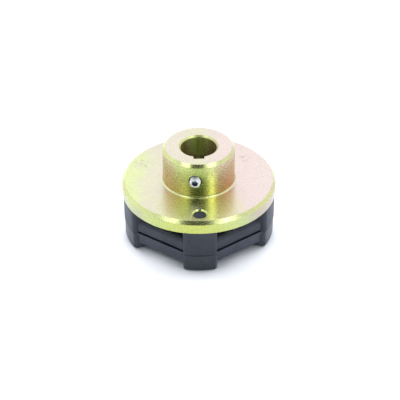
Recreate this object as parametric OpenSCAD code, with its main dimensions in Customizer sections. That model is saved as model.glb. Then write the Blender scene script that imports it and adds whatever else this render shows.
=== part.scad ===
// Flexible shaft coupling, driving half.
// A turned steel hub carries a moulded rubber element under its disc: five blocks, tied into
// a ring by straight bars. Threaded inserts in the feet of the blocks take the bolts of the
// driven flange, and a set screw in the boss bears on the shaft's key.
// The origin is on the shaft axis in the plane of the feet, and +Z runs up the shaft.
// One block, the keyway and the moulding gate face -Y, the front.

/* [Shaft bore] */
// Diameter of the shaft bore
bore_d = 20; // [14:0.5:24]
// Width of the keyway
keyway_w = 6; // [4:0.5:8]
// Depth of the keyway beyond the wall of the bore
keyway_depth = 2.8; // [1.8:0.1:3.6]
// Chamfer at both mouths of the bore
bore_chamfer = 1; // [0.4:0.1:1.5]

/* [Boss and disc] */
// Diameter of the boss
boss_d = 40; // [36:0.5:48]
// Height of the boss above the disc
boss_h = 21; // [18:0.5:32]
// Chamfer round the top of the boss
boss_chamfer = 1.6; // [0.5:0.1:2.5]
// Fillet where the boss meets the disc
boss_fillet = 0.8; // [0.4:0.1:2]
// Diameter of the disc
disc_d = 86; // [80:0.5:96]
// Thickness of the disc
disc_t = 7.5; // [6:0.25:11]
// Chamfer round the top edge of the disc
disc_chamfer = 1.8; // [0.6:0.1:2.5]
// Chamfer round the bottom edge of the disc
disc_edge_break = 0.3; // [0.1:0.05:0.6]

/* [Set screw] */
// Diameter of the set screw over its thread
screw_d = 6; // [5:0.5:8]
// Length of the set screw
screw_len = 8; // [7:0.5:10]
// How far the set screw stands out of the boss
screw_out = 2.3; // [0:0.1:3]
// Height of the set screw above the disc
screw_h = 10.8; // [7:0.1:12]
// Turn of the set screw from the front, as seen from above
screw_turn = -6.3; // [-10:0.1:10]
// Width of the hexagon socket across its flats
socket_w = 3; // [2:0.25:3.5]
// Depth of the hexagon socket
socket_depth = 3; // [2:0.25:4]
// Chamfer at the mouth of the set screw's hole
screw_hole_chamfer = 0.4; // [0.2:0.05:0.8]

/* [Rubber blocks] */
// Height of the rubber element, from the feet to the disc
element_h = 26; // [23:0.1:34]
// How far the disc stands out past the blocks
disc_overhang = 0.5; // [0.3:0.1:3]
// Width of a block at the disc
block_w = 18.7; // [17:0.1:22]
// Rubber between an insert and the outer face of its block
outer_wall = 2.5; // [1.5:0.1:4]
// Rubber between an insert and the inner face of its block
inner_wall = 3.5; // [2:0.1:5]
// Radius along the upright outer edges of a block
block_edge = 2.4; // [0.5:0.1:2.8]
// Radius along the bottom edges of a foot
foot_edge = 1.2; // [0.4:0.1:1.5]
// Draft angle of the blocks' faces, which narrow towards the feet
draft = 0.3; // [0.1:0.1:1.2]
// Height of the parting line above the feet
parting_h = 10.8; // [8:0.1:13]
// How far the outer face of a block steps in below the parting line
face_step = 0.35; // [0.1:0.05:0.8]

/* [Tie bars] */
// How far the middle of a bar lies inside the outer faces of the blocks
bar_setback = 5.65; // [4:0.05:7]
// Thickness of a bar, from its outer face to its inner face
bar_t = 10.4; // [8:0.1:12]
// Gap between the bars and the disc
bar_gap = 7.1; // [4:0.1:9]
// Height of the feet below the bars
foot_h = 3.6; // [1:0.1:4]
// How far a bar leans in, from the groove to its top
bar_lean = 0.4; // [0:0.05:1]
// Radius along the top outer edge of a bar
bar_top_edge = 2.4; // [1:0.1:3]
// Radius along the edge of a bar above the groove
groove_edge = 1.3; // [0.6:0.1:1.8]
// How far the lower band lies inside the bar above it
band_step = 0.5; // [0:0.05:1.2]
// How far the lip at the parting line stands out from the lower band
lip_out = 0.85; // [0.3:0.05:1.5]
// Thickness of the lip
lip_t = 1.1; // [0.6:0.1:1.8]
// Radius along the other edges of a bar
bar_edge = 0.9; // [0.4:0.1:1.5]

/* [Moulding gate] */
// Diameter of the gate hole through the disc
gate_d = 8; // [5:0.5:10]
// How far the gate hole lies inside the outer faces of the blocks
gate_inset = 7.7; // [6:0.1:9]
// Chamfer at the top of the gate hole
gate_chamfer = 0.5; // [0.2:0.1:1]
// Depth of the rubber in the gate hole below the top of the disc
gate_sink = 1; // [0.2:0.1:3]

/* [Threaded inserts] */
// Diameter of an insert over its knurled bands
insert_d = 12; // [11:0.25:13]
// Length of an insert
insert_len = 16; // [14:0.5:18]
// Depth of the grooves between the bands
insert_groove = 0.7; // [0.3:0.05:1]
// Width of a groove
insert_groove_w = 2.2; // [1:0.1:3]
// Diameter of the thread
thread_d = 8; // [6:0.5:8]
// Depth of thread that the tap cuts on each side
thread_cut = 0.6; // [0.4:0.05:0.8]
// Depth of the tapped hole
thread_len = 12; // [9:0.5:12.5]

/* [Fits] */
// Clearance of the set screw in its tapped hole
screw_fit = 0.05; // [0.02:0.01:0.1]
// Clearance kept between rubber and steel round the inserts and in the gate
bond_fit = 0.02; // [0.01:0.01:0.05]

/* [Hidden] */
$fn = 96;

// Five blocks stand at equal angles, the first one at the front
blocks = 5;
pitch = 360 / blocks;
front = -90;
// Cuts run this far past the faces that they open
past = 1;
// The point of a twist drill
drill_point = 118;

boss_r = boss_d / 2;
disc_r = disc_d / 2;
disc_z = element_h;
disc_top = disc_z + disc_t;
block_r = disc_r - disc_overhang;
lower_r = block_r - face_step;
// Draft over the upper half of a block, and over its whole height
upper_draft = (element_h - parting_h) * tan(draft);
foot_draft = element_h * tan(draft);
// A block's outline in plan stands this far outside its drafted faces
plan_clear = 0.05;
insert_r = block_r - outer_wall - insert_d / 2;
block_in_r = insert_r - insert_d / 2 - inner_wall;
gate_r = block_r - gate_inset;
bar_out = block_r - bar_setback;
bar_in = bar_out - bar_t;
bar_top = element_h - bar_gap;
band_out = bar_out - band_step;
lip_z = parting_h - lip_t;
// A bar runs this far into each block, past the corner where their faces meet
bar_embed = 2.5;
bar_len = 2 * (bar_out * tan(pitch / 2) - block_w / 2 / cos(pitch / 2) + bar_embed);

steel = "#c5c76a";
zinc = "#c9ccd0";
rubber = "#3d4046";

// Puts its children at a place round the axis, drawn along +X, where 0 is the front
module around(place) {
    rotate([0, 0, front + pitch * place]) children();
}

// Direction of the outer tangent's normal, from one corner circle [x, y, r] to the next
function normal_angle(p, q) =
    atan2(q.y - p.y, q.x - p.x) - 90 + asin((p.z - q.z) / norm([q.x - p.x, q.y - p.y]));

function tangent_point(p, angle) = [p.x + p.z * cos(angle), p.y + p.z * sin(angle)];

// Convex outline of straight lines and true arcs, wrapped anticlockwise round corner circles.
// A corner of radius 0 is sharp.
module wrapped(corners) {
    last = len(corners) - 1;
    polygon([
        for (i = [0 : last])
            let (
                corner = corners[i],
                before = normal_angle(corners[i == 0 ? last : i - 1], corner),
                after = normal_angle(corner, corners[i == last ? 0 : i + 1])
            )
            each corner.z == 0
                ? [[corner.x, corner.y]]
                : [tangent_point(corner, before), tangent_point(corner, after)]
    ]);
    for (corner = corners)
        if (corner.z > 0)
            translate([corner.x, corner.y]) circle(corner.z);
}

// Half section of the turned hub, from the disc's underside up
module hub_section() {
    polygon([
        [0, 0],
        [disc_r - disc_edge_break, 0],
        [disc_r, disc_edge_break],
        [disc_r, disc_t - disc_chamfer],
        [disc_r - disc_chamfer, disc_t],
        [boss_r, disc_t],
        [boss_r, disc_t + boss_h - boss_chamfer],
        [boss_r - boss_chamfer, disc_t + boss_h],
        [0, disc_t + boss_h]
    ]);
    translate([boss_r, disc_t])
        difference() {
            square(boss_fillet);
            translate([boss_fillet, boss_fillet]) circle(boss_fillet);
        }
}

// Shaft bore with both mouths chamfered, and the keyway along its front
module keyed_bore() {
    length = disc_t + boss_h;
    mouth_r = bore_d / 2 + bore_chamfer;
    translate([0, 0, -past]) cylinder(d = bore_d, h = length + 2 * past);
    cylinder(r1 = mouth_r, r2 = mouth_r - bore_chamfer, h = bore_chamfer);
    translate([0, 0, length - bore_chamfer])
        cylinder(r1 = mouth_r - bore_chamfer, r2 = mouth_r, h = bore_chamfer);
    translate([-keyway_w / 2, -bore_d / 2 - keyway_depth, -past])
        cube([keyway_w, bore_d / 2 + keyway_depth, length + 2 * past]);
}

// Turns its children to lie along the set screw's axis, pointing out of the boss
module along_screw() {
    translate([0, 0, disc_top + screw_h])
        rotate([90, 0, screw_turn])
            children();
}

// Tapped hole for the set screw, from the bore out through the boss
module screw_hole() {
    hole_r = screw_d / 2 + screw_fit;
    mouth_r = hole_r + screw_hole_chamfer;
    cylinder(r = hole_r, h = boss_r + past);
    // The mouth's cone is carried on past the curved face of the boss
    translate([0, 0, boss_r - screw_hole_chamfer])
        cylinder(r1 = hole_r, r2 = mouth_r + past, h = screw_hole_chamfer + past);
}

// Gate hole through the disc, over the front block
module gate_hole() {
    around(0)
        translate([gate_r, 0, 0]) {
            translate([0, 0, -past]) cylinder(d = gate_d, h = disc_t + 2 * past);
            translate([0, 0, disc_t - gate_chamfer])
                cylinder(d1 = gate_d, d2 = gate_d + 2 * (gate_chamfer + past), h = gate_chamfer + past);
        }
}

module hub() {
    color(steel)
        difference() {
            translate([0, 0, disc_z])
                difference() {
                    rotate_extrude() hub_section();
                    keyed_bore();
                    gate_hole();
                }
            along_screw() screw_hole();
        }
}

// Cup-point set screw with a hexagon socket, its point towards the shaft
module set_screw() {
    point_chamfer = 1;
    end_chamfer = 0.6;
    cup_rim = 0.3;
    cup_depth = 0.8;
    socket_turn = 15;
    point_r = screw_d / 2 - point_chamfer;
    socket_r = socket_w / 2 / cos(30);
    color(zinc)
        along_screw()
            translate([0, 0, boss_r + screw_out - screw_len])
                difference() {
                    rotate_extrude()
                        polygon([
                            [0, 0],
                            [point_r, 0],
                            [screw_d / 2, point_chamfer],
                            [screw_d / 2, screw_len - end_chamfer],
                            [screw_d / 2 - end_chamfer, screw_len],
                            [0, screw_len]
                        ]);
                    cylinder(r1 = point_r - cup_rim, r2 = 0, h = cup_depth);
                    translate([0, 0, screw_len - socket_depth])
                        rotate([0, 0, socket_turn])
                            cylinder(r = socket_r, h = socket_depth + past, $fn = 6);
                }
}

// Section through the upper half of a block along its radius
module upper_profile() {
    polygon([
        [block_in_r + upper_draft, parting_h],
        [block_r - upper_draft, parting_h],
        [block_r, element_h],
        [block_in_r, element_h]
    ]);
}

// Section through the lower half, stepped in at its outer face
module lower_profile() {
    wrapped([
        [block_in_r + foot_draft + foot_edge, foot_edge, foot_edge],
        [lower_r - foot_draft - foot_edge, foot_edge, foot_edge],
        [lower_r - upper_draft, parting_h, 0],
        [block_in_r + upper_draft, parting_h, 0]
    ]);
}

// A block seen from outside, across its width
module block_front() {
    foot_x = block_w / 2 - foot_draft - foot_edge;
    wrapped([
        [-foot_x, foot_edge, foot_edge],
        [foot_x, foot_edge, foot_edge],
        [block_w / 2, element_h, 0],
        [-block_w / 2, element_h, 0]
    ]);
}

// A block seen from above, its outer edges rounded. The drafted faces cut its outline, which
// stands clear of them all round.
module block_plan(face_r) {
    outer_r = face_r + plan_clear;
    edge_y = block_w / 2 + plan_clear - block_edge;
    edge_x = sqrt(pow(outer_r - block_edge, 2) - pow(edge_y, 2));
    edge_angle = atan2(edge_y, edge_x);
    reach = outer_r + past;
    intersection() {
        circle(outer_r);
        polygon([
            [0, 0],
            reach * [cos(edge_angle), -sin(edge_angle)] / cos(edge_angle),
            reach * [cos(edge_angle), sin(edge_angle)] / cos(edge_angle)
        ]);
    }
    translate([0, -edge_y - block_edge]) square([edge_x, 2 * (edge_y + block_edge)]);
    for (side = [-1, 1])
        translate([edge_x, side * edge_y]) circle(block_edge);
}

// Upright column on a block's outline, longer than the block at both ends
module block_column(face_r) {
    translate([0, 0, -past]) linear_extrude(element_h + 2 * past) block_plan(face_r);
}

module block() {
    intersection() {
        union() {
            intersection() {
                rotate_extrude() lower_profile();
                block_column(lower_r);
            }
            intersection() {
                rotate_extrude() upper_profile();
                block_column(block_r);
            }
        }
        rotate([90, 0, 90]) linear_extrude(block_r + past) block_front();
    }
}

// Section of a tie bar. Across is its distance from the shaft axis.
module bar_section() {
    // Upper bar, leaning in towards its rounded top
    wrapped([
        [bar_in + bar_edge, parting_h - past, 0],
        [bar_out - groove_edge, parting_h - past, 0],
        [bar_out - groove_edge, parting_h + groove_edge, groove_edge],
        [bar_out - bar_lean - bar_top_edge, bar_top - bar_top_edge, bar_top_edge],
        [bar_in + bar_edge, bar_top - bar_edge, bar_edge]
    ]);
    // Lower band
    wrapped([
        [bar_in + bar_edge, foot_h + bar_edge, bar_edge],
        [band_out - bar_edge, foot_h + bar_edge, bar_edge],
        [band_out, parting_h, 0],
        [bar_in, parting_h, 0]
    ]);
    // Lip at the parting line
    translate([bar_in + bar_edge, lip_z]) square([band_out + lip_out - bar_in - bar_edge, lip_t]);
}

module bar() {
    rotate([90, 0, 0])
        linear_extrude(bar_len, center = true)
            bar_section();
}

// Outer shape of an insert, or of its pocket in the rubber where grow is the fit between them
module insert_shape(grow) {
    r = insert_d / 2 + grow;
    band = (insert_len - 2 * insert_groove_w) / 3;
    cylinder(r = r - insert_groove, h = insert_len + grow);
    for (i = [0 : 2])
        translate([0, 0, i * (band + insert_groove_w) - grow])
            cylinder(r = r, h = band + 2 * grow);
}

module rubber_element() {
    color(rubber)
        difference() {
            union() {
                for (i = [0 : blocks - 1]) {
                    around(i) block();
                    around(i + 0.5) bar();
                }
                // Rubber left in the gate hole when the block was moulded
                around(0)
                    translate([gate_r, 0, disc_z - past])
                        cylinder(r = gate_d / 2 - bond_fit, h = past + disc_t - gate_sink);
            }
            for (i = [0 : blocks - 1])
                around(i)
                    translate([insert_r, 0, 0]) {
                        insert_shape(bond_fit);
                        translate([0, 0, -past]) cylinder(r = insert_d / 2 + bond_fit, h = 2 * past);
                    }
        }
}

// Blind threaded insert, flush with the foot of its block
module insert(place) {
    drill_r = thread_d / 2 - thread_cut;
    mouth = thread_cut + 0.3;
    color(zinc)
        around(place)
            translate([insert_r, 0, 0])
                difference() {
                    insert_shape(0);
                    translate([0, 0, -past]) cylinder(r = drill_r, h = thread_len + past);
                    translate([0, 0, thread_len])
                        cylinder(r1 = drill_r, r2 = 0, h = drill_r / tan(drill_point / 2));
                    cylinder(r1 = drill_r + mouth, r2 = drill_r, h = mouth);
                }
}

hub();
set_screw();
rubber_element();
for (i = [1 : blocks])
    insert(i - 1);
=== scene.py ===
# Looks of the flexible shaft coupling, driving half: a turned and zinc plated steel hub over a
# moulded rubber element with threaded inserts in its feet. The shapes are given in millimetres, and
# what a material reads is in metres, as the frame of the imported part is.

import math

import bmesh
import bpy
from mathutils import Matrix, Vector


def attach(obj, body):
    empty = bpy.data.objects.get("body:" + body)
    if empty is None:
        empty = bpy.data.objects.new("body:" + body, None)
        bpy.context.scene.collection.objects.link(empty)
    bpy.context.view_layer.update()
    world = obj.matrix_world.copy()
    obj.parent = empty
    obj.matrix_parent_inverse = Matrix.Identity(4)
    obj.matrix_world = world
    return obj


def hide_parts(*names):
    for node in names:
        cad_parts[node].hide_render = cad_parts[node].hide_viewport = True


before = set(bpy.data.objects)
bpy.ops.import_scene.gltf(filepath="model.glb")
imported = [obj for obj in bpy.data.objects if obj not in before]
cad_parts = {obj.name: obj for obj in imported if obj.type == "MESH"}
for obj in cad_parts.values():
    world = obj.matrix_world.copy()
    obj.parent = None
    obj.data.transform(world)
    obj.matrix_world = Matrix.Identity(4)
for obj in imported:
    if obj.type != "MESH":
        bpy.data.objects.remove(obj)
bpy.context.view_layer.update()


# Hub
# A boss and a disc turned from one bar of mild steel, with a keyed bore, a tapped hole for the
# set screw and a gate hole drilled through the disc. Zinc plated, then passivated yellow.


def rounded(corners, steps=5):
    """Closed outline through corners (x, y, radius), each one rounded with its own arc."""
    points = []
    for i, (x, y, radius) in enumerate(corners):
        here = Vector((x, y))
        if not radius:
            points.append(here)
            continue
        back = (Vector(corners[i - 1][:2]) - here).normalized()
        ahead = (Vector(corners[(i + 1) % len(corners)][:2]) - here).normalized()
        half = back.angle(ahead) / 2
        centre = here + (back + ahead).normalized() * radius / math.sin(half)
        start = here + back * radius / math.tan(half) - centre
        end = here + ahead * radius / math.tan(half) - centre
        first = math.atan2(start.y, start.x)
        sweep = math.remainder(math.atan2(end.y, end.x) - first, math.tau)
        for k in range(steps + 1):
            angle = first + sweep * k / steps
            points.append(centre + radius * Vector((math.cos(angle), math.sin(angle))))
    return points


def ring(radius, z, sides, shape=None):
    """One row of points round the Z axis. Shape changes the radius by the angle."""
    if radius == 0:
        return [Vector((0, 0, z))]
    row = []
    for k in range(sides):
        angle = math.tau * k / sides
        r = shape(angle) if shape else radius
        row.append(Vector((r * math.cos(angle), r * math.sin(angle), z)))
    return row


def skin(name, rows, closed=False, caps=False):
    """Mesh object through rows of points. A row of one point is a pole."""
    mesh = bmesh.new()
    made = [[mesh.verts.new(p / 1000) for p in row] for row in rows]
    pairs = list(zip(made, made[1:]))
    if closed:
        pairs.append((made[-1], made[0]))
    for low, high in pairs:
        count = max(len(low), len(high))
        for k in range(count):
            n = (k + 1) % count
            if len(low) == 1:
                mesh.faces.new((low[0], high[n], high[k]))
            elif len(high) == 1:
                mesh.faces.new((low[k], low[n], high[0]))
            else:
                mesh.faces.new((low[k], low[n], high[n], high[k]))
    if caps:
        mesh.faces.new(made[0])
        mesh.faces.new(made[-1])
    bmesh.ops.recalc_face_normals(mesh, faces=mesh.faces)
    data = bpy.data.meshes.new(name)
    mesh.to_mesh(data)
    mesh.free()
    made_object = bpy.data.objects.new(name, data)
    bpy.context.scene.collection.objects.link(made_object)
    return made_object


def placed(made_object, *moves):
    """Moves the mesh itself, first by the first matrix given."""
    for move in moves:
        made_object.data.transform(move)
    return made_object


def shift(x, y, z):
    return Matrix.Translation(Vector((x, y, z)) / 1000)


def turn(degrees, axis):
    return Matrix.Rotation(math.radians(degrees), 4, axis)


def combine(body, tool, how):
    """Joins the tool to the body or cuts it out of the body, and uses the tool up."""
    step = body.modifiers.new("step", "BOOLEAN")
    step.operation, step.solver, step.object = how, "MANIFOLD", tool
    shown = body.evaluated_get(bpy.context.evaluated_depsgraph_get())
    result = bpy.data.meshes.new_from_object(shown)
    body.modifiers.clear()
    body.data = result
    bpy.data.objects.remove(tool)
    return body


def turned(name, profile, sides, closed=True):
    """Solid turned round the Z axis from (radius, z) points, closed where it has a bore."""
    return skin(name, [ring(max(p[0], 0), p[1], sides) for p in profile], closed)


def threaded(name, length, root, crest, lead, sides=64, cone=0.0, mouth=0.0):
    """Threaded rod up the Z axis. Both ends narrow by cone, or the top widens to mouth."""
    rows_per_turn, flat, flank = 10, 1.3, 3.2
    count = round(length / lead * rows_per_turn)
    rows = [[Vector((0, 0, 0))]]
    for i in range(count + 1):
        z = length * i / count
        from_end = min(z, length - z)
        limit = crest - max(cone - from_end, 0)

        # Across one pitch the ridge rises, stays flat over the crest and falls again
        def radius(angle):
            phase = (z / lead - angle / math.tau) % 1
            ridge = min(max(flat - abs(phase - 0.5) * flank, 0), 1)
            return max(min(root + (crest - root) * ridge, limit), mouth + z - length)

        rows.append(ring(crest, z, sides, radius))
    rows.append([Vector((0, 0, length))])
    return skin(name, rows)


def finished(made_object, material, nodes):
    """Last step of a piece: smooth shading, material, and its place in the frame."""
    sharp_from = 32  # degrees
    data = made_object.data
    data.shade_smooth()
    data.set_sharp_from_angle(angle=math.radians(sharp_from))
    data.materials.clear()
    data.materials.append(material)
    weights = made_object.modifiers.new("flat faces stay flat", "WEIGHTED_NORMAL")
    weights.keep_sharp = True
    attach(made_object, "root")
    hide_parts(*nodes)
    return made_object


# The disc is 86 mm across in the solid, and it is drawn 0.02 mm smaller in radius
disc_low, disc_top, boss_top = 26.0, 33.5, 54.5
disc_r, boss_r, bore_r = 42.98, 20.0, 10.0
disc_chamfer, boss_chamfer, bore_chamfer = 1.8, 1.6, 1.0
# The edges are broken lightly, and the nose of the tool leaves a radius at the foot of the boss
edge_break, low_edge_break, mouth_break, nose_r = 0.2, 0.3, 0.15, 1.25
hub_sides, hole_sides = 320, 96
hub = turned(
    "turned_hub",
    rounded(
        [
            (bore_r + bore_chamfer, disc_low, mouth_break),
            (disc_r, disc_low, low_edge_break),
            (disc_r, disc_top - disc_chamfer, edge_break),
            (disc_r - disc_chamfer, disc_top, edge_break),
            (boss_r, disc_top, nose_r),
            (boss_r, boss_top - boss_chamfer, edge_break),
            (boss_r - boss_chamfer, boss_top, edge_break),
            (bore_r + bore_chamfer, boss_top, mouth_break),
            (bore_r, boss_top - bore_chamfer, mouth_break),
            (bore_r, disc_low + bore_chamfer, mouth_break),
        ]
    ),
    hub_sides,
)

# The keyway is broached: square, with a trace of a radius at its bottom corners. This tool and the
# next ones run a little past the faces that they cut.
key_half, key_bottom, key_corner_r, past = 3.0, 12.8, 0.25, 1.0
key_outline = rounded(
    [
        (-key_half, -key_bottom, key_corner_r),
        (key_half, -key_bottom, key_corner_r),
        (key_half, -bore_r / 2, 0),
        (-key_half, -bore_r / 2, 0),
    ]
)
keyway = skin(
    "keyway",
    [[Vector((p.x, p.y, z)) for p in key_outline] for z in (disc_low - past, boss_top + past)],
    caps=True,
)
combine(hub, keyway, "DIFFERENCE")

# The gate hole, with a broad rounded edge
gate_at, gate_r, gate_edge, gate_edge_depth, gate_edge_r = 34.8, 3.5, 0.9, 0.7, 0.6
gate_profile = [
    (0, disc_low - past, 0),
    (gate_r, disc_low - past, 0),
    (gate_r, disc_top - gate_edge_depth, gate_edge_r),
    (gate_r + gate_edge + past, disc_top + past, 0),
    (0, disc_top + past, 0),
]
gate_tool = turned("gate_tool", rounded(gate_profile), hole_sides, closed=False)
combine(hub, placed(gate_tool, shift(0, -gate_at, 0)), "DIFFERENCE")

# M6 with its pitch of 1 mm, tapped from the boss through to the bore, 6.3 degrees to the side of
# the keyway, with its mouth chamfered
screw_height, screw_turn, screw_pitch = disc_top + 10.8, -6.3, 1.0
along_screw = [turn(90, "X"), turn(screw_turn, "Z"), shift(0, 0, screw_height)]
tap_length, tap_root, tap_crest, mouth_r = 22, 2.55, 3.06, 3.75
tap_end_r = mouth_r + tap_length - boss_r
tap = threaded("tap", tap_length, tap_root, tap_crest, screw_pitch, mouth=tap_end_r)
combine(hub, placed(tap, *along_screw), "DIFFERENCE")
screw_axis = turn(screw_turn, "Z") @ Vector((0, -1, 0))
screw_centre = (0, 0, screw_height / 1000)


def linear(code):
    """Linear colour from an sRGB hex value."""
    parts = [int(code[i : i + 2], 16) / 255 for i in (0, 2, 4)]
    return tuple(
        c / 12.92 if c <= 0.04045 else ((c + 0.055) / 1.055) ** 2.4 for c in parts
    ) + (1.0,)


def add(tree, kind, sockets=None, stops=(), **settings):
    """Adds a node, sets or links its sockets by name or number, and gives its outputs.

    Stops are the (place, hex colour) pairs of a colour ramp. In a MapRange, sockets 1 and 2 bound
    what is read, and 3 and 4 what is given, from 0 to 1 where they are left out.
    """
    node = tree.nodes.new("ShaderNode" + kind)
    for key, value in settings.items():
        setattr(node, key, value)
    for key, value in (sockets or {}).items():
        if isinstance(value, bpy.types.NodeSocket):
            tree.links.new(value, node.inputs[key])
        else:
            node.inputs[key].default_value = value
    for i, (spot, code) in enumerate(stops):
        if i >= len(node.color_ramp.elements):
            node.color_ramp.elements.new(1.0)
        node.color_ramp.elements[i].position = spot
        node.color_ramp.elements[i].color = linear(code)
    return node.outputs


def surface(name, **constants):
    """New material: its node tree and its shader, with the shader's constants set."""
    made = bpy.data.materials.new(name)
    made.use_nodes = True
    shader = made.node_tree.nodes["Principled BSDF"]
    for key, value in constants.items():
        shader.inputs[key.replace("_", " ")].default_value = value
    return made, made.node_tree, shader


# Yellow zinc over turned steel: a thin chromate film on a bright metal. Its colour goes from
# yellow green through straw to rose as the film gets thicker, paler on the faced surfaces than on
# the round ones. The tool's feed lines spread each reflection across them.
plated, tree, shader = surface(
    "yellow_passivated_zinc", Metallic=1.0, Anisotropic=0.6, Anisotropic_Rotation=0.25
)
place = add(tree, "TexCoord")
# Where on the hub: how far from the axis, in which direction, and how level the surface lies
x, y, z = add(tree, "SeparateXYZ", {0: place["Object"]})
plan = add(tree, "CombineXYZ", {0: x, 1: y})[0]
radius = add(tree, "VectorMath", {0: plan}, operation="LENGTH")["Value"]
bearing = add(tree, "VectorMath", {0: plan}, operation="NORMALIZE")[0]
rightward = add(tree, "SeparateXYZ", {0: bearing})[0]
sideways = add(tree, "Math", {0: rightward}, operation="ABSOLUTE")[0]
upright = add(tree, "SeparateXYZ", {0: place["Normal"]})[2]
slope = add(tree, "Math", {0: upright}, operation="ABSOLUTE")[0]
# Each from 0 to 1: level faces, chamfers, bore with its keyway, disc, and the way up the boss
faced = add(tree, "MapRange", {0: slope, 1: 0.8, 2: 0.96})[0]
chamfered = add(tree, "MapRange", {0: slope, 1: 0.3, 2: 0.6})[0]
in_bore = add(tree, "MapRange", {0: radius, 1: 0.0135, 2: 0.0125})[0]
on_disc = add(tree, "MapRange", {0: radius, 1: 0.024, 2: 0.026})[0]
up_boss = add(tree, "MapRange", {0: z, 1: disc_top / 1000, 2: (boss_top - 3) / 1000})[0]

# The film's thickness changes in clouds of 10 to 20 mm. It also drifts from left to right over the
# faces, and from the front and back to the sides over what is round.
cloud_noise = add(tree, "TexNoise", {"Vector": place["Object"], "Scale": 60.0, "Detail": 3.0})[0]
cloud = add(tree, "MapRange", {0: cloud_noise, 1: 0.3, 2: 0.7, 3: -0.06, 4: 0.14})[0]
across = add(tree, "MapRange", {0: x, 1: -0.04, 2: 0.04})[0]
drift = add(tree, "Math", {0: cloud, 1: 0.5, 2: across}, operation="MULTIPLY_ADD")[0]
ahead = add(tree, "Math", {0: sideways, 1: 0.8, 2: cloud}, operation="MULTIPLY_ADD")[0]
film = add(tree, "Math", {0: rightward, 1: 0.1, 2: ahead}, operation="MULTIPLY_ADD")[0]
face_colour = add(
    tree,
    "ValToRGB",
    {0: drift},
    stops=[
        (0.06, "E9F2B8"),
        (0.16, "EAE8CC"),
        (0.28, "EAE4D2"),
        (0.42, "EDE5D4"),
        (0.53, "EBEACE"),
        (0.66, "F0E2DA"),
        (0.85, "F1E0DC"),
        (1.0, "F1E2DE"),
    ],
)[0]
# The disc is painted yellower in front of the boss: painted reflection of the boss
front_spot = (0.0, -0.031, disc_top / 1000)
off_front = add(tree, "VectorMath", {0: place["Object"], 1: front_spot}, operation="DISTANCE")[1]
boss_reflection_share = add(tree, "MapRange", {0: off_front, 1: 0.027, 2: 0.012})[0]
sockets = {"Factor": boss_reflection_share, "A": face_colour, "B": linear("F0F3B8")}
face_colour = add(tree, "Mix", sockets, data_type="RGBA")["Result"]
rim_colour = add(
    tree,
    "ValToRGB",
    {0: film},
    stops=[
        (0.0, "C8CE6C"),
        (0.3, "C9D17B"),
        (0.5, "C8D28A"),
        (0.65, "C2C69A"),
        (0.78, "C4B7A3"),
        (0.92, "CDBEAD"),
    ],
)[0]
boss_top_colour = add(
    tree,
    "ValToRGB",
    {0: film},
    stops=[
        (0.0, "AFC165"),
        (0.25, "C0C97F"),
        (0.45, "C6CA89"),
        (0.6, "C4B894"),
        (0.75, "C6B597"),
        (0.92, "CAB491"),
    ],
)[0]
boss_foot_colour = add(
    tree,
    "ValToRGB",
    {0: film},
    stops=[
        (0.0, "A6B05E"),
        (0.24, "AFB268"),
        (0.44, "CFC878"),
        (0.56, "C2AB6A"),
        (0.68, "C09562"),
        (0.92, "C09048"),
    ],
)[0]
# In the bore the film is thickest at the sides and deeper down, and drawn out in streaks along the
# broach's path, and the streaks are partly painted reflection of dark and bright surroundings
streaks = add(tree, "TexNoise", {"Vector": bearing, "Scale": 6.0, "Detail": 4.0})[0]
bore_streak_and_reflection = add(tree, "MapRange", {0: streaks, 1: 0.3, 2: 0.7, 3: -0.2, 4: 0.22})[0]
sides_film = add(tree, "Math", {0: sideways, 1: 0.8, 2: bore_streak_and_reflection}, operation="MULTIPLY_ADD")[0]
deep_from, deep_to = (boss_top - 10) / 1000, (boss_top - 14.5) / 1000
deep_film = add(tree, "MapRange", {0: z, 1: deep_from, 2: deep_to, 4: 0.5})[0]
bore_film = add(tree, "Math", {0: sides_film, 1: deep_film})[0]
bore_colour = add(
    tree,
    "ValToRGB",
    {0: bore_film},
    stops=[
        (0.0, "D0E47C"),
        (0.25, "EAFCA2"),
        (0.42, "EEFAA8"),
        (0.58, "DCD290"),
        (0.75, "BCAA7E"),
        (0.92, "A89074"),
    ],
)[0]
chamfer_colour = add(
    tree,
    "ValToRGB",
    {0: film},
    stops=[
        (0.0, "DCE69A"),
        (0.5, "E0EAA6"),
        (0.7, "DCE2A4"),
        (0.8, "D9DA9E"),
        (0.92, "D5D0AE"),
    ],
)[0]
# The mouth of the screw's hole is painted dark olive: painted shade in the gap round the screw
from_screw = add(
    tree, "VectorMath", {0: place["Object"], 1: screw_centre}, operation="SUBTRACT"
)[0]
off_axis = add(tree, "VectorMath", {0: from_screw, 1: screw_axis}, operation="CROSS_PRODUCT")[0]
off_screw = add(tree, "VectorMath", {0: off_axis}, operation="LENGTH")["Value"]
mouth_from, mouth_to = (mouth_r + 0.07) / 1000, (mouth_r - 0.05) / 1000
near_screw = add(tree, "MapRange", {0: off_screw, 1: mouth_from, 2: mouth_to})[0]
in_front = add(tree, "MapRange", {0: y, 1: -0.011, 2: -0.012})[0]
mouth_painted_shade = add(tree, "Math", {0: near_screw, 1: in_front}, operation="MULTIPLY")[0]

plating = boss_foot_colour
for share, colour in (
    (up_boss, boss_top_colour),
    (on_disc, rim_colour),
    (in_bore, bore_colour),
    (chamfered, chamfer_colour),
    (faced, face_colour),
    (mouth_painted_shade, linear("5C6230")),
):
    sockets = {"Factor": share, "A": plating, "B": colour}
    plating = add(tree, "Mix", sockets, data_type="RGBA")["Result"]

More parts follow.
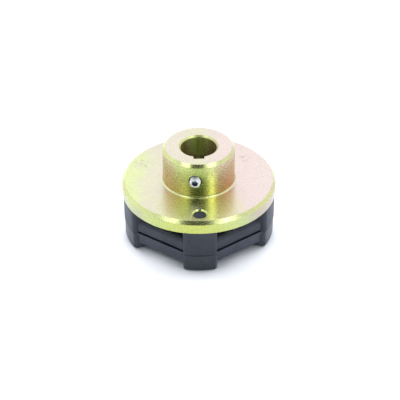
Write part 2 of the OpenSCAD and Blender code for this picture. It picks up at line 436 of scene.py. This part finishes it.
# Feed lines of the turning tool, 0.15 mm apart on the faces and drawn 0.38 mm apart on the round
# sides, broken up along their length as a worn surface is
feed_pitch, side_share, breaks = 0.00015, 0.4, 14.0
rise = add(tree, "Math", {0: z, 1: side_share}, operation="MULTIPLY")[0]
along_feed = add(tree, "Math", {0: radius, 1: rise})[0]
feed = add(tree, "Math", {0: along_feed, 1: feed_pitch * breaks}, operation="DIVIDE")[0]
lines = add(
    tree,
    "TexNoise",
    {"Vector": bearing, "W": feed, "Scale": breaks, "Detail": 1.5},
    noise_dimensions="4D",
)[0]
# Grain of the zinc, 0.6 mm across
grain = add(tree, "TexNoise", {"Vector": place["Object"], "Scale": 1600.0, "Detail": 2.0})[0]
marks = add(tree, "Math", {0: grain, 1: 0.5, 2: lines}, operation="MULTIPLY_ADD")[0]
# The marks are 6 micrometres deep on the round sides and 2.5 on the faces
side_depth, face_depth = 0.000006, 0.0000025
depth = add(tree, "MapRange", {0: faced, 3: side_depth, 4: face_depth})[0]
relief = add(tree, "Bump", {"Strength": 1.0, "Distance": depth, "Height": marks})[0]
tree.links.new(relief, shader.inputs["Normal"])
polish = add(tree, "MapRange", {0: lines, 1: 0.3, 2: 0.7, 3: 0.2, 4: 0.32})[0]
dull = add(tree, "Math", {0: in_bore, 1: 0.15, 2: polish}, operation="MULTIPLY_ADD")[0]
tree.links.new(dull, shader.inputs["Roughness"])

# The zinc's crystals, drawn 1 mm across, take the film unevenly, most of all on the side of the
# boss. At the front and back of the chamfers the stronger speckle is painted sparkle of the turned
# lines.
crystals = add(tree, "TexNoise", {"Vector": place["Object"], "Scale": 1000.0, "Detail": 2.0})[0]
patchy = add(tree, "Math", {0: crystals, 1: 1.6, 2: marks}, operation="MULTIPLY_ADD")[0]
side_speckle = add(tree, "MapRange", {0: patchy, 1: 1.2, 2: 1.9, 3: 0.79, 4: 1.17})[0]
plain_speckle = add(tree, "MapRange", {0: patchy, 1: 1.2, 2: 1.9, 3: 0.95, 4: 1.04})[0]
sloping = add(tree, "Math", {0: chamfered, 1: faced}, operation="SUBTRACT")[0]
midway = add(tree, "MapRange", {0: sideways, 1: 0.65, 2: 0.45})[0]
chamfer_painted_sparkle = add(tree, "Math", {0: sloping, 1: midway}, operation="MULTIPLY")[0]
evenly = add(tree, "Math", {0: on_disc, 1: faced}, operation="MAXIMUM")[0]
evenly = add(tree, "Math", {0: evenly, 1: sloping}, operation="MAXIMUM")[0]
evenly = add(tree, "Math", {0: evenly, 1: chamfer_painted_sparkle}, operation="SUBTRACT", use_clamp=True)[0]
sockets = {"Factor": evenly, "A": side_speckle, "B": plain_speckle}
speckle = add(tree, "Mix", sockets)[0]

# Scuffs on the top of the disc from handling: the film rubbed dull in two small spots
scuff_noise = add(tree, "TexNoise", {"Vector": place["Object"], "Scale": 420.0, "Detail": 3.0})[0]
spots = add(tree, "MapRange", {0: scuff_noise, 1: 0.5, 2: 0.6, 3: 0.0, 4: 0.2})[0]
for spot_x, spot_y, spot_r in ((-0.032, 0.014, 0.006), (0.026, 0.0186, 0.0045)):
    spot = (spot_x, spot_y, disc_top / 1000)
    off = add(tree, "VectorMath", {0: place["Object"], 1: spot}, operation="DISTANCE")["Value"]
    near = add(tree, "MapRange", {0: off, 1: spot_r, 2: spot_r * 0.4})[0]
    rubbed = add(tree, "Math", {0: near, 1: spots}, operation="MULTIPLY")[0]
    speckle = add(tree, "Math", {0: speckle, 1: rubbed}, operation="SUBTRACT")[0]
speckled = add(tree, "VectorMath", {0: plating, "Scale": speckle}, operation="SCALE")[0]
tree.links.new(speckled, shader.inputs["Base Color"])
tangent = add(tree, "Tangent", direction_type="RADIAL", axis="Z")[0]
tree.links.new(tangent, shader.inputs["Tangent"])
finished(hub, plated, ["hub"])


# Set screw
# An M6 screw of hardened steel with a hexagon socket and a cup point, bright zinc plated. It is
# screwed through the boss until it bears on the shaft's key.

screw_length, screw_root, screw_crest, screw_cone, screw_sides = 8.0, 2.42, 3.0, 0.7, 96
screw = threaded(
    "cup_point_screw",
    screw_length,
    screw_root,
    screw_crest,
    screw_pitch,
    sides=screw_sides,
    cone=screw_cone,
)


def hexagon(z, half):
    """Hexagon of that half width across its flats, as a row of points."""
    turned_by = math.radians(15)

    def edge(angle):
        off = (angle - turned_by) % (math.pi / 3) - math.pi / 6
        return half / math.cos(off)

    return ring(half, z, screw_sides, edge)


# The socket narrows a little to its floor, where the drill left a cone, and its mouth is bevelled
socket_half, socket_depth, drill_cone, floor_share = 1.5, 2.3, 0.35, 0.98
bevel, past_end = 0.25, 0.5
socket = skin(
    "socket",
    [
        [Vector((0, 0, screw_length - socket_depth - drill_cone))],
        hexagon(screw_length - socket_depth, socket_half * floor_share),
        hexagon(screw_length - bevel, socket_half),
        hexagon(screw_length + past_end, socket_half + bevel + past_end),
        [Vector((0, 0, screw_length + past_end))],
    ],
)
combine(screw, socket, "DIFFERENCE")
cup_depth, cup_r = 0.8, 1.7
cup_profile = [(0, cup_depth), (cup_r, -0.05), (cup_r + 0.2, -past_end), (0, -past_end)]
cup = turned("cup", cup_profile, screw_sides, closed=False)
combine(screw, cup, "DIFFERENCE")
screw_out = 2.3
placed(screw, shift(0, 0, boss_r + screw_out - screw_length), *along_screw)

# Bright zinc on steel: a light bluish metal, a little dull. The socket is painted a darker blue
# grey as painted shade in its depth, and the thread's sides are painted darker for oil and painted
# shade, darkest as painted shade where the screw leaves the boss.
screw_zinc, tree, shader = surface("bright_zinc_on_screw", Metallic=1.0, Roughness=0.45)
place = add(tree, "TexCoord")
ended = add(tree, "VectorMath", {0: place["Normal"], 1: screw_axis}, operation="DOT_PRODUCT")[1]
flat = add(tree, "MapRange", {0: ended, 1: 0.25, 2: 0.75})[0]
along = add(tree, "VectorMath", {0: place["Object"], 1: screw_axis}, operation="DOT_PRODUCT")[1]
end_at = (boss_r + screw_out) / 1000  # along the screw, from the axis of the bore
below_end = add(tree, "MapRange", {0: along, 1: end_at - 0.0001, 2: end_at - 0.0003})[0]
from_centre = add(
    tree, "VectorMath", {0: place["Object"], 1: screw_centre}, operation="SUBTRACT"
)[0]
off_axis = add(tree, "VectorMath", {0: from_centre, 1: screw_axis}, operation="CROSS_PRODUCT")[0]
off_centre = add(tree, "VectorMath", {0: off_axis}, operation="LENGTH")["Value"]
inside = add(tree, "MapRange", {0: off_centre, 1: 0.0022, 2: 0.002})[0]
socket_painted_shade = add(tree, "Math", {0: inside, 1: below_end}, operation="MULTIPLY")[0]
grain = add(tree, "TexNoise", {"Vector": place["Object"], "Scale": 900.0, "Detail": 3.0})[0]
bright = add(tree, "ValToRGB", {0: grain}, stops=[(0.3, "E2E8EE"), (0.7, "FCFDFD")])[0]
# The thread's sides are painted darker for oil and painted shade, and dark olive next to the boss
# as painted shade where the screw leaves the hole
out_from, out_to = (boss_r + 0.3) / 1000, (boss_r + 0.8) / 1000
standing = add(tree, "MapRange", {0: along, 1: out_from, 2: out_to})[0]
sockets = {"Factor": standing, "A": linear("3C4038"), "B": linear("C4CACC")}
thread_oil_and_shade = add(tree, "Mix", sockets, data_type="RGBA")["Result"]
sockets = {"Factor": flat, "A": thread_oil_and_shade, "B": bright}
outer = add(tree, "Mix", sockets, data_type="RGBA")["Result"]
# The socket is painted blue grey: painted shade in its depth
sockets = {"Factor": socket_painted_shade, "A": outer, "B": linear("707C92")}
shade = add(tree, "Mix", sockets, data_type="RGBA")["Result"]
tree.links.new(shade, shader.inputs["Base Color"])
finished(screw, screw_zinc, ["set_screw"])


# Rubber element
# Natural rubber filled with carbon black, moulded in one piece under the disc: five blocks tied
# by five straight bars. The mould parts 10.8 mm above the feet, where a lip runs along the bars.

block_h, block_w, block_out, block_in = 26.0, 18.7, 42.5, 24.5
parting, face_step, edge_r, inner_edge_r, foot_r = 10.8, 0.35, 2.4, 1.6, 1.2
draft = math.tan(math.radians(0.3))
block_count = 5
front, pitch = -90, 360 / block_count


def block_row(z, outer, inset):
    """Outline of a block at one height, all round inside its full size by the inset.

    It runs over the outer face, an outer edge, an inner edge and half the inner face, and back.
    """
    outer_steps, edge_steps, inner_edge_steps, inner_steps = 16, 10, 8, 6
    edge_y = block_w / 2 - edge_r
    edge_x = math.sqrt((outer - edge_r) ** 2 - edge_y**2)
    lean = math.atan2(edge_y, edge_x)
    row = []
    for k in range(outer_steps + 1):
        angle = lean * (2 * k / outer_steps - 1)
        r = outer - inset
        row.append(Vector((r * math.cos(angle), r * math.sin(angle), z)))
    for k in range(1, edge_steps + 1):
        angle = lean + (math.pi / 2 - lean) * k / edge_steps
        r = edge_r - inset
        row.append(Vector((edge_x + r * math.cos(angle), edge_y + r * math.sin(angle), z)))
    inner_y = block_w / 2 - inner_edge_r
    inner_x = math.sqrt((block_in + inner_edge_r) ** 2 - inner_y**2)
    inner_lean = math.atan2(inner_y, inner_x)
    for k in range(inner_edge_steps + 1):
        angle = math.pi / 2 + (math.pi / 2 + inner_lean) * k / inner_edge_steps
        r = inner_edge_r - inset
        row.append(Vector((inner_x + r * math.cos(angle), inner_y + r * math.sin(angle), z)))
    for k in range(1, inner_steps):
        angle = inner_lean * (1 - k / inner_steps)
        r = block_in + inset
        row.append(Vector((r * math.cos(angle), r * math.sin(angle), z)))
    row.append(Vector((block_in + inset, 0, z)))
    row += [Vector((p.x, -p.y, z)) for p in reversed(row[outer_steps + 1 : -1])]
    return row


# The rounded foot, from the ground up
block_rows = []
foot_steps = 8
for k in range(foot_steps + 1):
    angle = math.pi / 2 * k / foot_steps
    z = foot_r * (1 - math.cos(angle))
    block_rows.append((z, block_out - face_step, foot_r * (1 - math.sin(angle))))
# A fine groove was left where the mould's halves meet, and above it the block is wider
for z, inset in ((-0.7, 0), (-0.55, 0.1), (-0.4, 0.3), (-0.15, 0.3), (-0.02, 0.1), (0.12, 0)):
    block_rows.append((parting + z, block_out - (face_step if z < 0 else 0), inset))
block_rows.append((block_h, block_out, 0.0))

rows = [block_row(z, outer, inset + (block_h - z) * draft) for z, outer, inset in block_rows]
element = None
for i in range(block_count):
    block = placed(skin("rubber_element", rows, caps=True), turn(front + pitch * i, "Z"))
    element = combine(element, block, "UNION") if element else block

# Section of a bar, from its inner lower corner: band, lip, groove, and the bar above it. The bar's
# ends lie inside the blocks.
bar_out, bar_in, bar_top, bar_foot = 36.85, 26.45, 18.9, 3.6
lip_out, lip_low, band_out, groove_r = 37.2, 9.7, 36.35, 2.0
inner_round, band_round, lip_round, top_round, top_lean = 0.9, 0.5, 0.25, 3.2, 0.4
bar_half, section_steps = 19.5, 8
groove = []
for k in range(section_steps + 1):
    angle = math.radians(-90 + 90 * k / section_steps)
    groove_x = bar_out - groove_r + groove_r * math.cos(angle)
    groove.append((groove_x, parting + groove_r + groove_r * math.sin(angle), 0))
section = rounded(
    [
        (bar_in, bar_foot, inner_round),
        (band_out, bar_foot, band_round),
        (band_out, lip_low, 0),
        (lip_out, lip_low, lip_round),
        (lip_out, parting, lip_round),
        *groove,
        (bar_out - top_lean, bar_top, top_round),
        (bar_in, bar_top, inner_round),
    ],
    section_steps,
)
for i in range(block_count):
    bar = skin(
        "bar",
        [[Vector((p.x, y, p.y)) for p in section] for y in (-bar_half, bar_half)],
        caps=True,
    )
    combine(element, placed(bar, turn(front + pitch * (i + 0.5), "Z")), "UNION")

# Rubber that was left in the gate hole, torn off about 1.2 mm below the top of the disc
plug_r, torn_at, plug_sides = gate_r - 0.02, disc_top - 1.2, 64
plug_profile = [
    (0, disc_low - past),
    (plug_r, disc_low - past),
    (plug_r, torn_at),
    (3.2, torn_at + 0.15),
    (2.2, torn_at),
    (1.0, torn_at - 0.15),
    (0, torn_at),
]
gate_plug = turned("gate_plug", plug_profile, plug_sides, closed=False)
combine(element, placed(gate_plug, shift(0, -gate_at, 0)), "UNION")

# Pockets of the inserts, with 0.02 mm all round
insert_at, insert_body_r, insert_length, play = 34.0, 6.0, 16.0, 0.02
pocket_r, pocket_top = insert_body_r + play, insert_length + play
pocket_profile = [(0, -past), (pocket_r, -past), (pocket_r, pocket_top), (0, pocket_top)]
for i in range(block_count):
    pocket = turned("pocket", pocket_profile, hole_sides, closed=False)
    placed(pocket, shift(insert_at, 0, 0), turn(front + pitch * i, "Z"))
    combine(element, pocket, "DIFFERENCE")

# Moulded rubber: nearly black, satin, with the fine grain of the mould's steel
moulded, tree, shader = surface("black_moulded_rubber", Roughness=0.45)
place = add(tree, "TexCoord")
bloom = add(tree, "TexNoise", {"Vector": place["Object"], "Scale": 120.0, "Detail": 4.0})[0]
upper_shade = add(tree, "ValToRGB", {0: bloom}, stops=[(0.3, "282D38"), (0.7, "333A48")])[0]
# The lower half of the mould leaves the rubber a little greyer. On the bars it is painted lighter
# still: painted reflection of the floor.
lower_block = add(tree, "ValToRGB", {0: bloom}, stops=[(0.3, "31363F"), (0.7, "3B414B")])[0]
lower_bar_with_reflection = add(tree, "ValToRGB", {0: bloom}, stops=[(0.3, "3E4552"), (0.7, "4A515F")])[0]
x, y, z = add(tree, "SeparateXYZ", {0: place["Object"]})
at_parting = parting / 1000
lower = add(tree, "MapRange", {0: z, 1: at_parting, 2: at_parting - 0.0002})[0]
polish = add(tree, "MapRange", {0: lower, 3: 0.45, 4: 0.32})[0]
plan = add(tree, "CombineXYZ", {0: x, 1: y})[0]
radius = add(tree, "VectorMath", {0: plan}, operation="LENGTH")["Value"]
bars_within, blocks_from = 0.0405, 0.0412
on_bars = add(tree, "MapRange", {0: radius, 1: blocks_from, 2: bars_within})[0]
sockets = {"Factor": on_bars, "A": lower_block, "B": lower_bar_with_reflection}
lower_shade = add(tree, "Mix", sockets, data_type="RGBA")["Result"]
sockets = {"Factor": lower, "A": upper_shade, "B": lower_shade}
shade = add(tree, "Mix", sockets, data_type="RGBA")["Result"]
# The bars came off a smoother part of the mould than the blocks
smooth = add(tree, "Math", {0: on_bars, 1: -0.12, 2: polish}, operation="MULTIPLY_ADD")[0]
# Fine pores and dust, drawn 0.8 mm across
grain = add(tree, "TexNoise", {"Vector": place["Object"], "Scale": 1200.0, "Detail": 2.0})[0]
dust = add(tree, "MapRange", {0: grain, 1: 0.35, 2: 0.65, 3: 0.9, 4: 1.1})[0]
shade = add(tree, "VectorMath", {0: shade, "Scale": dust}, operation="SCALE")[0]
tree.links.new(shade, shader.inputs["Base Color"])
relief = add(tree, "Bump", {"Strength": 1.0, "Distance": 0.00004, "Height": grain})[0]
tree.links.new(relief, shader.inputs["Normal"])
tree.links.new(smooth, shader.inputs["Roughness"])
finished(element, moulded, ["rubber_element"])


# Inserts
# Five blind inserts of free-cutting steel, M8, moulded into the feet with their open ends flush.
# Two grooves round each one key it in the rubber.

# Bright zinc on turned steel: light and bluish, a little cloudy
insert_zinc, tree, shader = surface("bright_zinc_on_insert", Metallic=1.0, Roughness=0.3)
place = add(tree, "TexCoord")
grain = add(tree, "TexNoise", {"Vector": place["Object"], "Scale": 900.0, "Detail": 3.0})[0]
shade = add(tree, "ValToRGB", {0: grain}, stops=[(0.3, "C4CCD4"), (0.7, "E6EAEE")])[0]
tree.links.new(shade, shader.inputs["Base Color"])

key_groove_depth, foot_break, top_break = 0.7, 0.2, 0.3
insert_profile = [(0, 0, 0), (insert_body_r, 0, foot_break)]
for low, high in ((3.87, 6.07), (9.93, 12.13)):
    insert_profile += [
        (insert_body_r, low, 0),
        (insert_body_r - key_groove_depth, low, 0),
        (insert_body_r - key_groove_depth, high, 0),
        (insert_body_r, high, 0),
    ]
insert_profile += [(insert_body_r, insert_length, top_break), (0, insert_length, 0)]
# M8 with its pitch of 1.25 mm, tapped 12 mm deep, and its mouth countersunk by 0.9 mm
tapped_root, tapped_crest, tapped_pitch, tapped_length, below = 3.4, 4.0, 1.25, 12.5, 0.5
sink = 0.9
sink_profile = [(0, -past), (tapped_root + sink + past, -past), (tapped_root, sink), (0, sink)]
for i in range(block_count):
    outline = rounded(insert_profile)
    insert = turned(f"threaded_insert_{i + 1}", outline, hole_sides, closed=False)
    bore = threaded("tapped", tapped_length, tapped_root, tapped_crest, tapped_pitch)
    combine(insert, placed(bore, shift(0, 0, -below)), "DIFFERENCE")
    mouth = turned("mouth", sink_profile, hole_sides, closed=False)
    combine(insert, mouth, "DIFFERENCE")
    placed(insert, shift(insert_at, 0, 0), turn(front + pitch * i, "Z"))
    finished(insert, insert_zinc, [f"insert_{i + 1}"])


# Floor, light and camera
# A white sweep under soft studio light, with the camera where the photograph was taken from.


def sheet(name, low_width, height, high_width):
    """Flat sheet in the XY plane, in metres, round the origin."""
    low, high, y = low_width / 2, high_width / 2, height / 2
    corners = [(-low, -y, 0), (low, -y, 0), (high, y, 0), (-high, y, 0)]
    data = bpy.data.meshes.new(name)
    data.from_pydata(corners, [], [(0, 1, 2, 3)])
    made = bpy.data.objects.new(name, data)
    bpy.context.scene.collection.objects.link(made)
    return made


# The floor is white to the camera, but for the shade close to the part
floor_size = 12
ground = sheet("floor", floor_size, floor_size, floor_size)
floor_paint, tree, shader = surface("white_floor", Roughness=0.9)
shader.inputs["Base Color"].default_value = linear("EEF3FC")
shader.inputs["Emission Color"].default_value = linear("FFFFFF")
open_share = add(tree, "AmbientOcclusion", {"Distance": 0.011})["AO"]
lit = add(tree, "MapRange", {0: open_share, 1: 0.5, 2: 0.9, 4: 0.3})[0]
seen = add(tree, "LightPath")
glow = add(tree, "Math", {0: seen["Is Camera Ray"], 1: lit}, operation="MULTIPLY")[0]
tree.links.new(glow, shader.inputs["Emission Strength"])
ground.data.materials.append(floor_paint)

# White to the camera and in the metal, and brighter behind the part than in front of it
world = bpy.data.worlds.new("white_studio")
bpy.context.scene.world = world
world.use_nodes = True
tree = world.node_tree
background = tree.nodes["Background"]
background.inputs["Color"].default_value = linear("FFFFFF")
toward = add(tree, "SeparateXYZ", {0: add(tree, "TexCoord")["Generated"]})
cast = add(tree, "MapRange", {0: toward[1], 1: -0.2, 2: 0.4, 3: 0.32, 4: 2.9})[0]
walls = add(tree, "MapRange", {0: toward[1], 1: -0.5, 2: 0.1, 3: 0.6, 4: 1.0})[0]
ceiling = add(tree, "MapRange", {0: toward[2], 1: 0.6, 2: 0.75})[0]
mirrored = add(tree, "Math", {0: walls, 1: ceiling}, operation="MAXIMUM")[0]
seen = add(tree, "LightPath")
level = add(tree, "Mix", {"Factor": seen["Is Glossy Ray"], "A": cast, "B": mirrored})[0]
level = add(tree, "Mix", {"Factor": seen["Is Camera Ray"], "A": level, "B": 1.0})[0]
tree.links.new(level, background.inputs["Strength"])


def facing_part(made, azimuth, elevation, distance):
    """Puts an object round the part, facing it. Azimuth 0 is the front, 90 the right."""
    a, e = math.radians(azimuth), math.radians(elevation)
    out = Vector((math.sin(a) * math.cos(e), -math.cos(a) * math.cos(e), math.sin(e)))
    made.location = out * distance + Vector((0, 0, disc_top / 1000))
    made.rotation_euler = out.to_track_quat("Z", "Y").to_euler()


def softbox(name, width, height, level, *where):
    """Lamp of that size in metres, facing the part. At level 1 it is as bright as white."""
    lamp = bpy.data.lights.new(name, "AREA")
    lamp.shape, lamp.size, lamp.size_y = "RECTANGLE", width, height
    lamp.energy = level * math.pi * width * height
    made = bpy.data.objects.new(name, lamp)
    bpy.context.scene.collection.objects.link(made)
    facing_part(made, *where)


# Azimuth and elevation in degrees and distance in metres come last
softbox("right_strip", 0.32, 0.4, 2.4, 40, 34, 1.3)
softbox("right_box", 0.42, 0.3, 1.9, 52, 53, 1.3)
softbox("left_box", 0.42, 0.3, 1.9, -52, 53, 1.3)

# Dark end of the room behind the camera, narrower to the top, which only reflections see
dark_end = sheet("dark_room_end", 1.2, 1.45, 0.6)
dark_cloth, tree, shader = surface("black_cloth", Roughness=1.0)
shader.inputs["Base Color"].default_value = linear("101010")
dark_end.data.materials.append(dark_cloth)
facing_part(dark_end, -5.5, 44, 1.35)
dark_end.visible_camera = dark_end.visible_diffuse = dark_end.visible_shadow = False

# A long lens at 0.85 m, 35 degrees up, with places in millimetres
eye = bpy.data.cameras.new("camera")
eye.sensor_width, eye.lens = 36.0, 135.0
eye.clip_start, eye.clip_end = 0.05, 50.0
camera = bpy.data.objects.new("camera", eye)
bpy.context.scene.collection.objects.link(camera)
stand, target = Vector((-7.21, -688.49, 508.76)), Vector((0.57, 0.0, 17.87))
level_view = (target - stand).to_track_quat("-Z", "Y").to_matrix().to_4x4()
camera_roll = -0.35
camera.matrix_world = shift(*stand) @ level_view @ turn(camera_roll, "Z")
bpy.context.scene.camera = camera

bpy.context.scene.view_settings.view_transform = "Standard"
